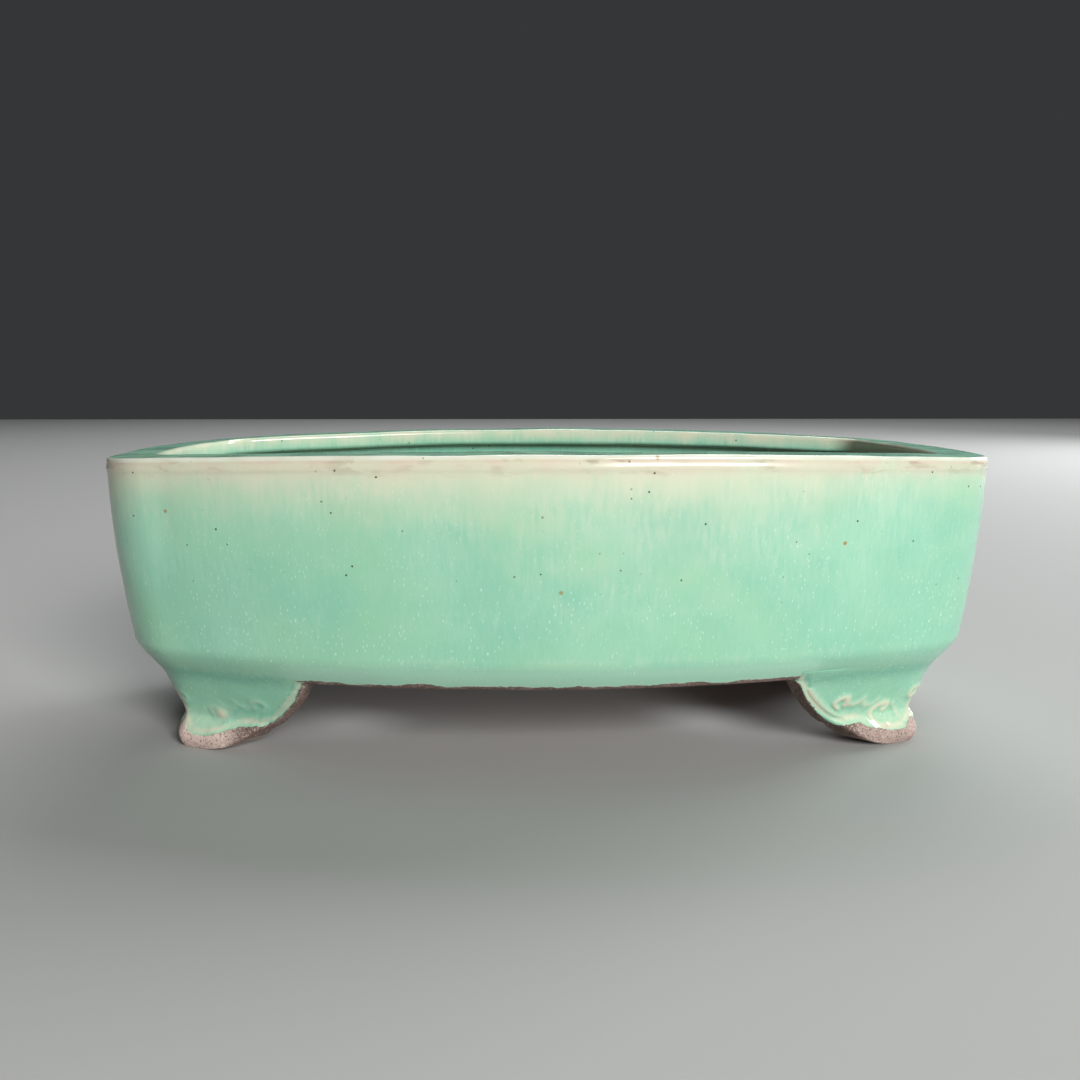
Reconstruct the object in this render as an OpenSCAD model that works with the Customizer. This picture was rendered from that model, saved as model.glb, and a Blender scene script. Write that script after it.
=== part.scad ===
// Footed ceramic bonsai pot with bowed sides, built up from clay pieces luted together:
// four wall slabs on a base slab, a lip strip inside the mouth and four cloud-shaped feet.
// Every piece follows one plan outline of tangent arcs, moved in by its inset at each height.

/* [Pot] */
// Length over the rim, end to end
pot_w = 235; // [225:1:245]
// Depth over the rim, front to back
pot_d = 142; // [136:1:152]
// Height from the toes to the rim
pot_h = 80; // [74:1:92]
// How much lower the rim is at its ends than in the middle of the long sides
rim_drop = 2.9; // [0:0.1:4]
// Bow radius of the long sides at the rim
side_r = 262; // [250:2:290]
// Bow radius of the ends at the rim
end_r = 170; // [160:5:220]
// Corner radius of the outline at the rim
corner_r = 24; // [20:0.5:28]
// Corner radius of the outline from the shoulder down, before its inset
corner_low_r = 28; // [26:0.5:30]

/* [Walls] */
// Thickness of a wall slab
wall_t = 7.5; // [6:0.5:8]
// How far the wall leans in above the shoulder
wall_lean = 4; // [3:0.1:5]
// Height of the shoulder, where the wall turns in
shoulder_z = 30; // [30:0.5:36]
// How far the shoulder turns in, down to the underside
shoulder_in = 6.1; // [4:0.1:7]
// Radius of the outer rim edge
rim_edge_r = 1.5; // [0.5:0.1:2]

/* [Lip] */
// Width that the lip strip adds inside the wall
lip_w = 5.5; // [3:0.5:6]
// Height of the lip strip
lip_h = 5; // [3:0.5:8]
// Radius of the inner edges of the lip
lip_edge_r = 1.2; // [0.4:0.1:1.5]

/* [Base] */
// Thickness of the base slab
base_t = 7; // [5:0.5:8]
// Diameter of the two drain holes
drain_d = 22; // [14:1:26]
// Distance between the drain hole centres
drain_pitch = 100; // [70:1:110]
// Diameter of the four wire holes
wire_d = 4.5; // [3:0.5:6]
// Spacing of the wire holes along the pot
wire_pitch_x = 52; // [40:1:60]
// Spacing of the wire holes across the pot
wire_pitch_y = 56; // [40:1:70]

/* [Feet] */
// Height of the feet, up to the underside of the base
foot_h = 22; // [20:0.5:23]
// Thickness of a foot at its top
foot_t = 9; // [7:0.5:11]
// Thickness of a foot at its toe
toe_t = 8; // [5:0.5:9]
// How far the outer face leans in, down to the waist
foot_lean = 6.2; // [4:0.1:6.5]
// Height of the waist above the floor
foot_waist_z = 9; // [8:0.5:10]
// How far the toe flares out again below the waist
toe_flare = 2.3; // [1:0.1:2.6]
// Height of the widest part of the toe
toe_z = 3.4; // [2:0.2:5]
// How far the toe is rounded back, from its widest part down to the floor
toe_round = 2.2; // [0.6:0.2:2.4]
// Length of a foot along the long side, from the corner
long_leg = 38; // [34:1:42]
// Length of a foot along the end, from the corner
short_leg = 24; // [20:1:26]

/* [Hidden] */
$fn = 96;
end_steps = 4;                         // steps along half an end
corner_steps = 8;                      // steps round a corner
side_steps = 9;                        // steps along half a long side
leg_steps = 14;                        // steps along each leg of a foot
lean_span = pot_h - shoulder_z;
foot_inset = wall_lean + shoulder_in;  // inset of the wall where a foot begins
foot_back = foot_inset + foot_t;       // inset of the inner face of a foot at its top
back_round = 5;                        // radius left on the inner face of a foot, in its corner
foot_ridge_r = foot_inset + foot_lean + 2;  // outline corner radius at the waist of a foot
toe_back = foot_inset + foot_lean - toe_flare + toe_round + toe_t;  // inset of a toe's inner edge
base_top = foot_h + base_t;

// Centres of the arcs of the plan outline, in the quadrant where X and Y are positive
side_c = [0, pot_d / 2 - side_r];
end_c = [pot_w / 2 - end_r, 0];

function polar(c, r, a) = c + r * [cos(a), sin(a)];
function lerp(a, b, t) = a + (b - a) * t;

// A point at height z of the upright wall, let down towards the ends of the pot
function settled(p, z) =
    [p.x, p.y, z - rim_drop * pow(2 * p.x / pot_w, 2) * max(0, z - base_top) / (pot_h - base_top)];

// Crossing, on the outer side, of a circle about p and one about q
function crossing(p, rp, q, rq) =
    let (d = q - p, len = norm(d), u = d / len,
         m = (rp * rp - rq * rq + len * len) / (2 * len))
    p + u * m + [u.y, -u.x] * sqrt(rp * rp - m * m);

// Centre of the corner arc of radius cr, and the angles where it meets the two long arcs
function corner_c(cr) = crossing(side_c, side_r - cr, end_c, end_r - cr);
function end_a(cr) = let (c = corner_c(cr)) atan2(c.y - end_c.y, c.x - end_c.x);
function side_a(cr) = let (c = corner_c(cr)) atan2(c.y - side_c.y, c.x - side_c.x);

quarter = end_steps + corner_steps + side_steps;
mitre = end_steps + corner_steps / 2;

// Step i of a quarter of the outline, from the middle of the right end to the middle of the back
function quarter_point(i, inset, cr) =
    i <= end_steps
        ? polar(end_c, end_r - inset, end_a(cr) * i / end_steps)
        : i <= end_steps + corner_steps
            ? polar(corner_c(cr), cr - inset,
                    lerp(end_a(cr), side_a(cr), (i - end_steps) / corner_steps))
            : polar(side_c, side_r - inset,
                    lerp(side_a(cr), 90, (i - end_steps - corner_steps) / side_steps));

// Step i of the whole outline, anticlockwise
function outline_point(i, inset, cr) =
    let (k = (i + 4 * quarter) % (4 * quarter), turn = floor(k / quarter), j = k % quarter,
         p = quarter_point(turn % 2 == 0 ? j : quarter - j, inset, cr))
    [turn == 0 || turn == 3 ? p.x : -p.x, turn < 2 ? p.y : -p.y];

// Inset of the outer surface from the rim outline at height z
function wall_inset(z) =
    z >= shoulder_z ? wall_lean * pow((pot_h - z) / lean_span, 1.9)
    : wall_lean + shoulder_in * pow((shoulder_z - z) / (shoulder_z - foot_h), 1.3);

// Outline corner radius of the wall at height z
function wall_corner(z) = lerp(corner_r, corner_low_r, min(1, (pot_h - z) / lean_span));

// Inset and outline corner radius of the outer face of a foot at height z
function foot_face(z) =
    z >= foot_waist_z
        ? let (t = (foot_h - z) / (foot_h - foot_waist_z))
            foot_inset + foot_lean * t * (1.1 - 0.1 * pow(t, 6))
        : let (flare = (1 - cos(180 * min(1, (foot_waist_z - z) / (foot_waist_z - toe_z)))) / 2,
               under = 1 - sqrt(1 - pow(max(0, toe_z - z) / toe_z, 2)))
            foot_inset + foot_lean - toe_flare * flare + toe_round * under;
function foot_corner(z) =
    lerp(corner_low_r, foot_ridge_r, min(1, (foot_h - z) / (foot_h - foot_waist_z)));

// Points of an arc of an ellipse
function arc(cx, cz, rx, rz, a0, a1, n) =
    [for (i = [0:n]) let (a = lerp(a0, a1, i / n)) [cx + rx * cos(a), cz + rz * sin(a)]];

// A wall's outer face, upwards, and its inner face, downwards, in pairs, as [inset, height]
wall_levels = concat([for (i = [0:2]) lerp(base_top, shoulder_z, i / 2)],
                     [for (i = [1:7]) lerp(shoulder_z, pot_h - lip_h, i / 7)]);
wall_section = concat(
    [for (z = wall_levels) [wall_inset(z), z]],
    arc(rim_edge_r, pot_h - rim_edge_r, rim_edge_r, rim_edge_r, 180, 90, 3),
    [[wall_t, pot_h], [wall_t + wall_inset(pot_h - 1), pot_h - 1],
     [wall_t + wall_inset(pot_h - 2), pot_h - 2], [wall_t + wall_inset(pot_h - 3), pot_h - 3]],
    [for (i = [len(wall_levels) - 1:-1:0])
        let (z = wall_levels[i]) [wall_t + wall_inset(z), z]]);

lip_section = concat(
    [for (z = [pot_h - lip_h, pot_h - 3, pot_h - 2, pot_h - 1, pot_h])
        [wall_t + wall_inset(z), z]],
    arc(wall_t + lip_w - lip_edge_r, pot_h - lip_edge_r, lip_edge_r, lip_edge_r, 90, 0, 3),
    arc(wall_t + lip_w - lip_edge_r, pot_h - lip_h + lip_edge_r, lip_edge_r, lip_edge_r,
        0, -90, 3));

// Solid through a list of rings of points. A ring runs up the outer face and down the inner one,
// and an open loft is closed at each end by strips between the two faces.
module loft(rings, closed = false) {
    n = len(rings);
    m = len(rings[0]);
    last = (n - 1) * m;
    polyhedron(
        points = [for (ring = rings) each ring],
        faces = concat(
            [for (i = [0:closed ? n - 1 : n - 2], j = [0:m - 1])
                let (a = i * m, b = (i + 1) % n * m, k = (j + 1) % m)
                each [[a + j, a + k, b + k], [a + j, b + k, b + j]]],
            closed ? [] : [for (j = [0:m / 2 - 2])
                each [[j, m - 1 - j, m - 2 - j], [j, m - 2 - j, j + 1],
                      [last + j, last + m - 2 - j, last + m - 1 - j],
                      [last + j, last + j + 1, last + m - 2 - j]]]),
        convexity = 8);
}

// A section of [inset, height] pairs swept from step i0 to step i1 of the outline
function swept(section, i0, i1) =
    [for (i = [i0:i1]) [for (q = section)
        settled(outline_point(i, q.x, wall_corner(q.y)), q.y)]];

module front_wall() color("mediumaquamarine") mirror([0, 1, 0]) side_wall();
module back_wall() color("mediumaquamarine") side_wall();
module right_wall() color("aquamarine") end_wall();
module left_wall() color("aquamarine") mirror([1, 0, 0]) end_wall();
module side_wall() loft(swept(wall_section, mitre, 2 * quarter - mitre));
module end_wall() loft(swept(wall_section, -mitre, mitre));

module rim_lip() color("lightseagreen") loft(swept(lip_section, 0, 4 * quarter - 1), closed = true);

// Slab whose edge carries the lower half of the shoulder
module slab_body() {
    levels = 7;
    n = 4 * quarter;
    polyhedron(
        points = [for (k = [0:levels], i = [0:n - 1])
            let (z = lerp(foot_h, base_top, k / levels),
                 p = outline_point(i, wall_inset(z), wall_corner(z)))
            [p.x, p.y, z]],
        faces = concat(
            [for (k = [0:levels - 1], i = [0:n - 1])
                let (a = k * n + i, b = k * n + (i + 1) % n)
                each [[a, a + n, b + n], [a, b + n, b]]],
            [[for (i = [0:n - 1]) i], [for (i = [n - 1:-1:0]) levels * n + i]]));
}

module base_slab()
    color("rosybrown")
        difference() {
            slab_body();
            for (s = [-1, 1])
                translate([s * drain_pitch / 2, 0, foot_h - 1]) cylinder(h = base_t + 2, d = drain_d);
            for (s = [-1, 1], t = [-1, 1])
                translate([s * wire_pitch_x / 2, t * wire_pitch_y / 2, foot_h - 1])
                    cylinder(h = base_t + 2, d = wire_d);
        }

// Height of a foot's lower edge at a distance u from the corner along a leg:
// a toe that rises from the floor, a cusp, a second lobe and a flare to the underside
function foot_edge(u, leg) =
    let (toe = 0.1 * leg, cusp = 0.56 * leg, lobe = 0.88 * leg, cusp_z = 0.29 * foot_h,
         lobe_z = 0.71 * foot_h)
    u <= toe ? 0
    : u <= cusp ? cusp_z * pow((u - toe) / (cusp - toe), 1.9)
    : u <= lobe ? lerp(cusp_z, lobe_z, pow((u - cusp) / (lobe - cusp), 1.4))
    : lerp(lobe_z, foot_h - 0.6, 1 - pow((leg - u) / (leg - lobe), 1.2));

// One ring of a foot: up its outer face and down its inner one, from the height of its edge
function foot_ring(place, edge) =
    let (levels = [0, 0.01, 0.04, 0.09, 0.15, 0.24, 0.36, 0.5, 0.65, 0.82, 1])
    concat(
        [for (t = levels) let (z = lerp(edge, foot_h, t), p = place(foot_face(z), foot_corner(z)))
            [p.x, p.y, z]],
        [for (i = [len(levels) - 1:-1:0])
            let (z = lerp(edge, foot_h, levels[i]), back = lerp(toe_back, foot_back, z / foot_h),
                 p = place(back, back + back_round))
            [p.x, p.y, z]]);

// Angle that a leg takes up on an arc of radius r
function leg_arc(leg, r) = leg / (r - foot_back) * 180 / PI;

// The angles on the two long arcs where the legs of a foot stop
short_leg_a = end_a(foot_ridge_r) - leg_arc(short_leg, end_r);
long_leg_a = side_a(foot_ridge_r) + leg_arc(long_leg, side_r);

// A foot's place at each step: along the end, round the corner and along the long side
function by_end(t) = function (inset, cr)
    polar(end_c, end_r - inset, lerp(end_a(cr), short_leg_a, t));
function by_corner(t) = function (inset, cr)
    polar(corner_c(cr), cr - inset, lerp(end_a(cr), side_a(cr), t));
function by_side(t) = function (inset, cr)
    polar(side_c, side_r - inset, lerp(side_a(cr), long_leg_a, t));

foot_rings = concat(
    [for (i = [leg_steps:-1:0]) let (t = i / leg_steps)
        foot_ring(by_end(t), foot_edge(t * short_leg, short_leg))],
    [for (i = [1:corner_steps - 1]) foot_ring(by_corner(i / corner_steps), 0)],
    [for (i = [0:leg_steps]) let (t = i / leg_steps)
        foot_ring(by_side(t), foot_edge(t * long_leg, long_leg))]);

module cloud_foot() loft(foot_rings);
module foot_back_right() color("tan") cloud_foot();
module foot_back_left() color("tan") mirror([1, 0, 0]) cloud_foot();
module foot_front_right() color("tan") mirror([0, 1, 0]) cloud_foot();
module foot_front_left() color("tan") mirror([1, 0, 0]) mirror([0, 1, 0]) cloud_foot();

front_wall();
back_wall();
left_wall();
right_wall();
rim_lip();
base_slab();
foot_front_left();
foot_front_right();
foot_back_left();
foot_back_right();
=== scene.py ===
"""A footed bonsai pot in a green glaze: the looks, built around the packed clay pieces.

Lengths are in metres in the pot's own frame: X along the pot, its front towards -Y, Z up.
One grid of points covers the whole upright skin. The walls, the lip and the edge of the base are
cut from that grid and share its normals, so the glaze runs across their joints without a seam.
"""

import bpy
import numpy as np
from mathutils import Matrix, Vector, geometry, noise


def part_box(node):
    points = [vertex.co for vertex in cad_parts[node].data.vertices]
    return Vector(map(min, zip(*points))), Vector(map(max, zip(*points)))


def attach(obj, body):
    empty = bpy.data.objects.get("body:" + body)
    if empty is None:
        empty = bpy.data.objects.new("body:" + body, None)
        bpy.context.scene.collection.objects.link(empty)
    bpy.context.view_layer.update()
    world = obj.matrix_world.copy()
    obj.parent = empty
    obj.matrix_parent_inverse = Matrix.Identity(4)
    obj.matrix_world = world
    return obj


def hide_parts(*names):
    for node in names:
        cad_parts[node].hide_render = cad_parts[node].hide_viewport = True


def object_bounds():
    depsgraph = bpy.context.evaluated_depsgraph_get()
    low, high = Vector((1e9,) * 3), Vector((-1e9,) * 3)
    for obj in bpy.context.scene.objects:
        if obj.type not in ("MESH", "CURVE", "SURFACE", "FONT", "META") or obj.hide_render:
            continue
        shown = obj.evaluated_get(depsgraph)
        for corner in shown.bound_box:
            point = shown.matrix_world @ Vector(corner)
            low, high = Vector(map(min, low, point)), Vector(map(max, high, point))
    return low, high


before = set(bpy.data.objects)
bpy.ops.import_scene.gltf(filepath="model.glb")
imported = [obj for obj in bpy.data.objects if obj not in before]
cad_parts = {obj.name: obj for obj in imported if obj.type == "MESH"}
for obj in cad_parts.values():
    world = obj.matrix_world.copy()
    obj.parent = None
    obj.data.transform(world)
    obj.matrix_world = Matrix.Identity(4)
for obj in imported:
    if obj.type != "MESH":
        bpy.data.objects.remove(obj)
cad_lo, cad_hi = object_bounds()
slab_lo, slab_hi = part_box("base_slab")

MM = 0.001
POT_W = cad_hi.x - cad_lo.x
POT_D = cad_hi.y - cad_lo.y
POT_H = cad_hi.z
FOOT_H = slab_lo.z
BASE_TOP = slab_hi.z

# The plan outline: a bowed side, a bowed end and a round corner between them
SIDE_R = 262 * MM
END_R = 170 * MM
CORNER_R = 24 * MM
CORNER_LOW_R = 28 * MM
SIDE_Y = POT_D / 2 - SIDE_R
END_X = POT_W / 2 - END_R

# The section of the wall and its lip, and the sides that a row of it can be on
RIM_DROP = 2.9 * MM
RIM_EDGE_R = 0.9 * MM
WALL_T = 7.5 * MM
WALL_LEAN = 4 * MM
SHOULDER_Z = 30 * MM
SHOULDER_IN = 6.1 * MM
LIP_W = 5.5 * MM
LIP_H = 5 * MM
LIP_EDGE_R = 1.2 * MM
LIP_FILLET = 1.6 * MM
ROLL_SPAN = 6 * MM
ROLL_DEPTH = 2.9 * MM
FLOOR_FILLET = 4 * MM
BASE_EDGE_R = 1.3 * MM
OUTSIDE, TOP, INSIDE = range(3)

# The drain and wire holes in the base
DRAIN_R = 11 * MM
DRAIN_X = 50 * MM
WIRE_R = 2.25 * MM
WIRE_X = 26 * MM
WIRE_Y = 28 * MM
HOLE_EDGE_R = 0.9 * MM
DRAIN_POINTS = 72
WIRE_POINTS = 28
SHEET_SPACING = 1.7 * MM

# The feet, with their parts in plan and the kinds of row in their section
FOOT_INSET = WALL_LEAN + SHOULDER_IN
FOOT_T = 9 * MM
TOE_T = 8 * MM
FOOT_LEAN = 6.2 * MM
WAIST_Z = 9 * MM
TOE_FLARE = 2.3 * MM
TOE_Z = 3.4 * MM
TOE_ROUND = 2.2 * MM
LONG_LEG = 38 * MM
SHORT_LEG = 24 * MM
FOOT_BACK = FOOT_INSET + FOOT_T
TOE_BACK = FOOT_INSET + FOOT_LEAN - TOE_FLARE + TOE_ROUND + TOE_T
BACK_ROUND = 5 * MM
RIDGE_R = FOOT_INSET + FOOT_LEAN + 2 * MM
SKIRT_H = 3.2 * MM
SKIRT_BLEND = 1.7 * MM
SKIRT_SINK = 0.12 * MM
TOE_EDGE_R = 0.5 * MM
LEG_EDGE_R = 1.1 * MM
BACK_EDGE_R = 1.6 * MM
SHORT, CORNER, LONG = range(3)
UNDER, ROUND, FACE, JOINT, BACK = range(5)

# The uneven surface: height of each kind of unevenness
SWELL = 0.26 * MM
RIPPLE = 0.07 * MM
CREASE = 0.22 * MM
BEAD = 0.3 * MM
RIM_WAVE = 0.16 * MM
CARVING = 0.55 * MM
FOOT_SWELL = 0.12 * MM
FOOT_GRIT = 0.06 * MM
FLOOR_LUMP = 0.20 * MM
FLOOR_GRIT = 0.10 * MM

# Where the glaze thins, pools and stops; inside the right end it stops just under the lip, and the bare clay
# there is painted shade
FADE_NEAR = 11.5 * MM
FADE_FAR = 38 * MM
GLAZE_STOP_LEFT = 14 * MM
# Shallow at the right end, so that dark bare clay paints the shade under the lip
SHADED_GLAZE_STOP_RIGHT = 7.5 * MM
VALLEY_H = 2.4 * MM
TOE_BARE = 4 * MM
TOE_BARE_MIDDLE = 2.6 * MM
SHEET_SCORCH = 0.4
HOLE_SCORCH = 0.5

# The layers painted on the points of each piece. From 0 to 1: thin glaze (with a painted highlight on the
# lip's inner edge), pooled glaze (and a darker teal down the inside of the mouth), bare clay (painted shade
# under the lip inside the right end), the white edge of the rim (thin glaze and a painted highlight), marks
# under the rim, scorching of the clay (darker inside the right end as painted shade) and painted light: a
# paler strip on the shoulder just above the base, which faces down
LAYERS = ("cream", "pool", "bare", "edge", "rim", "scorch", "painted_light_band")


# ---------------------------------------------------------------- numbers

def smooth(lo, hi, x):
    """0 below lo, 1 above hi and a smooth step between them."""
    t = np.clip((x - lo) / (hi - lo), 0, 1)
    return t * t * (3 - 2 * t)


def bump(centre, width, x):
    """A smooth hump of height 1 about the centre."""
    return np.exp(-(((x - centre) / width) ** 2))


def lerp(a, b, t):
    """From a to b, a share t of the way."""
    return a + (b - a) * t


def noise_at(points, size, seed):
    """Smooth noise from about -1 to 1 at each point, with features of that size."""
    flat = points.reshape(-1, 3) / size + np.array((7.31, 3.17, 5.73)) * seed
    values = np.array([noise.noise(Vector(p)) for p in flat])
    return values.reshape(points.shape[:-1])


# ---------------------------------------------------------------- the plan outline

def corner_arc(cr):
    """Centre of the corner arc of radius cr, and the angles where it meets the two long arcs."""
    across = np.array((END_X, -SIDE_Y))
    length = np.hypot(*across)
    ux, uy = across / length
    along = ((SIDE_R - cr) ** 2 - (END_R - cr) ** 2 + length**2) / (2 * length)
    out = np.sqrt((SIDE_R - cr) ** 2 - along**2)
    cx = ux * along + uy * out
    cy = SIDE_Y + uy * along - ux * out
    return cx, cy, np.arctan2(cy, cx - END_X), np.arctan2(cy - SIDE_Y, cx)


def quarter_step(step):
    """Which quarter of the outline a step is in, and its steps from the middle of the nearest end."""
    turn = np.floor(step / 3).astype(int) % 4
    j = step - 3 * np.floor(step / 3)
    return turn, np.where(turn % 2 == 1, 3 - j, j)


def arc_points(on_end, on_corner, angle, inset, cr):
    """Points in plan at an angle on an end's arc, a corner's or else a side's, moved in by inset."""
    cx, cy, _, _ = corner_arc(cr)
    radius = np.where(on_end, END_R, np.where(on_corner, cr, SIDE_R)) - inset
    x = np.where(on_end, END_X, np.where(on_corner, cx, 0)) + radius * np.cos(angle)
    y = np.where(on_end, 0, np.where(on_corner, cy, SIDE_Y)) + radius * np.sin(angle)
    return x, y


def plan(step, inset, cr):
    """Points of the outline, moved in by inset. Each quarter takes three steps: half an end,
    a corner and half a side, and step 0 is the middle of the right end."""
    turn, j = quarter_step(step)
    _, _, end_a, side_a = corner_arc(cr)
    angle = np.where(j <= 1, end_a * j,
                     np.where(j <= 2, lerp(end_a, side_a, j - 1), lerp(side_a, np.pi / 2, j - 2)))
    x, y = arc_points(j <= 1, j <= 2, angle, inset, cr)
    return np.where((turn == 0) | (turn == 3), x, -x), np.where(turn < 2, y, -y)


def wall_inset(z):
    """Inset of the outer surface from the rim outline at height z."""
    lean = WALL_LEAN * np.clip((POT_H - z) / (POT_H - SHOULDER_Z), 0, 1) ** 1.9
    turn_in = SHOULDER_IN * np.clip((SHOULDER_Z - z) / (SHOULDER_Z - FOOT_H), 0, 2) ** 1.3
    return lean + turn_in


def wall_corner(z):
    """Corner radius of the outline at height z."""
    return lerp(CORNER_R, CORNER_LOW_R, np.clip((POT_H - z) / (POT_H - SHOULDER_Z), 0, 1))


def settle(x, z):
    """Height of a point of the wall once the rim has sunk a little towards the pot's ends."""
    upper = np.maximum(0, z - BASE_TOP) / (POT_H - BASE_TOP)
    return z - RIM_DROP * (2 * x / POT_W) ** 2 * upper


def column_steps(n_end, n_corner, n_side):
    """Steps of all the columns round the pot, the same in every quarter."""
    quarter = np.concatenate([np.linspace(0, 1, n_end + 1)[:-1],
                              np.linspace(1, 2, n_corner + 1)[:-1],
                              np.linspace(2, 3, n_side + 1)])
    back = 3 - quarter[::-1]
    return np.concatenate([quarter[:-1], 3 + back[:-1], 6 + quarter[:-1], 9 + back[:-1]])


# ---------------------------------------------------------------- meshes

def grid_faces(index, wrap):
    """Quads between neighbouring rows and columns of a grid of vertex numbers."""
    if wrap:
        index = np.concatenate([index, index[:, :1]], axis=1)
    corners = [index[:-1, :-1], index[:-1, 1:], index[1:, 1:], index[1:, :-1]]
    return np.stack(corners, axis=-1).reshape(-1, 4)


def grid_normals(points, wrap):
    """Unit normals of a grid whose columns run anticlockwise and whose rows run up the outside."""
    if wrap:
        padded = np.concatenate([points[:, -1:], points, points[:, :1]], axis=1)
        across = padded[:, 2:] - padded[:, :-2]
    else:
        across = np.gradient(points, axis=1)
    up = np.gradient(points, axis=0)
    normal = np.cross(across, up)
    return normal / np.maximum(np.linalg.norm(normal, axis=-1, keepdims=True), 1e-12)


def make_piece(name, points, faces, layers, normals=None):
    """A smooth mesh object with its painted layers, and with given normals where they aren't zero."""
    mesh = bpy.data.meshes.new(name)
    mesh.from_pydata([tuple(p) for p in points], [], [tuple(int(i) for i in f) for f in faces])
    for layer, values in zip(LAYERS, layers):
        attribute = mesh.attributes.new(layer, "FLOAT", "POINT")
        attribute.data.foreach_set("value", np.clip(values, 0, 1).astype(np.float32))
    mesh.polygons.foreach_set("use_smooth", np.ones(len(mesh.polygons), bool))
    mesh.update()
    if normals is not None:
        own = np.zeros(len(mesh.vertices) * 3, np.float32)
        mesh.vertices.foreach_get("normal", own)
        own = own.reshape(-1, 3)
        given = np.linalg.norm(normals, axis=1) > 0.5
        own[given] = normals[given]
        mesh.normals_split_custom_set_from_vertices([tuple(map(float, n)) for n in own])
    piece = bpy.data.objects.new(name, mesh)
    bpy.context.scene.collection.objects.link(piece)
    return piece


def place_piece(piece, node):
    """The piece stands for its CAD node, on the pot's one body."""
    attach(piece, "root")
    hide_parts(node)


# ---------------------------------------------------------------- the upright skin

def wall_rows(z0, z1, count, thickness, side):
    """Rows of the section up or down the wall, at a thickness in from its outer surface."""
    return [(thickness + wall_inset(z), z, side) for z in np.linspace(z0, z1, count)]


def level_rows(inset0, inset1, count, z, side):
    """Rows of the section across a level stretch."""
    return [(inset, z, side) for inset in np.linspace(inset0, inset1, count)]


def arc_rows(inset, z, r, a0, a1, count, side):
    """Rows of the section round an arc about a centre, from angle a0 to a1 in degrees."""
    return [(inset + r * np.cos(a), z + r * np.sin(a), side) for a in np.radians(np.linspace(a0, a1, count))]


def bend_rows(start, knee, stop, count, side):
    """Rows of the section on a curve between two points, pulled towards a knee."""
    start, knee, stop = np.array((start, knee, stop))
    return [(*((1 - t) ** 2 * start + 2 * t * (1 - t) * knee + t**2 * stop), side)
            for t in np.linspace(0, 1, count)]


def skin_profile():
    """The section as rows of inset, height and side of the wall, and the rows of its three joints.
    It runs from under the base's edge up the outside, over the rim and the lip, and down inside."""
    low, edge_top = wall_inset(FOOT_H), FOOT_H + BASE_EDGE_R
    lip_in, under_z = WALL_T + LIP_W - LIP_EDGE_R, POT_H - LIP_H
    fillet_in = WALL_T + wall_inset(under_z) + LIP_FILLET
    floor_z = BASE_TOP + FLOOR_FILLET
    floor_in = WALL_T + wall_inset(floor_z) + FLOOR_FILLET
    rows = bend_rows((low + 1.4 * BASE_EDGE_R, FOOT_H), (low, FOOT_H),
                     (wall_inset(edge_top), edge_top), 7, OUTSIDE)[:-1]
    rows += wall_rows(edge_top, BASE_TOP, 10, 0, OUTSIDE)[:-1]
    joint_row = len(rows)
    rows += wall_rows(BASE_TOP, POT_H - ROLL_SPAN, 46, 0, OUTSIDE)[:-1]
    rows += wall_rows(POT_H - ROLL_SPAN, POT_H - RIM_EDGE_R, 21, 0, OUTSIDE)[:-1]
    rows += arc_rows(RIM_EDGE_R, POT_H - RIM_EDGE_R, RIM_EDGE_R, 180, 90, 8, OUTSIDE)[:-1]
    rows += level_rows(RIM_EDGE_R, WALL_T, 7, POT_H, TOP)[:-1]
    lip_row = len(rows)
    rows += level_rows(WALL_T, lip_in, 6, POT_H, TOP)[:-1]
    rows += arc_rows(lip_in, POT_H - LIP_EDGE_R, LIP_EDGE_R, 90, 0, 7, TOP)
    rows += arc_rows(lip_in, under_z + LIP_EDGE_R, LIP_EDGE_R, 0, -90, 7, INSIDE)
    rows += level_rows(lip_in, fillet_in, 4, under_z, INSIDE)[1:-1]
    lip_end_row = len(rows)
    rows += arc_rows(fillet_in, under_z - LIP_FILLET, LIP_FILLET, 90, 180, 7, INSIDE)
    rows += wall_rows(under_z - LIP_FILLET, floor_z, 30, WALL_T, INSIDE)[1:-1]
    rows += arc_rows(floor_in, floor_z, FLOOR_FILLET, 180, 270, 8, INSIDE)
    return np.array(rows), joint_row, lip_row, lip_end_row


def foot_tips():
    """The angles on the two long arcs where the legs of a foot stop."""
    _, _, ridge_end_a, ridge_side_a = corner_arc(RIDGE_R)
    short_a = ridge_end_a - SHORT_LEG / (END_R - FOOT_BACK)
    return short_a, ridge_side_a + LONG_LEG / (SIDE_R - FOOT_BACK)


def over_foot(x, y):
    """1 along the stretches of the outline that have a foot, fading out at the tips of its legs."""
    short_a, long_a = foot_tips()
    to_long_tip = (long_a - np.arctan2(np.abs(y) - SIDE_Y, np.abs(x))) * SIDE_R
    to_short_tip = (np.arctan2(np.abs(y), np.abs(x) - END_X) - short_a) * END_R
    return smooth(-0.5 * MM, 8 * MM, np.minimum(to_long_tip, to_short_tip))


def valley(z):
    """Where glaze pools in the valley between a foot and the base's edge."""
    return 0.5 * bump(FOOT_H + 0.3 * MM, VALLEY_H, z)


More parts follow.
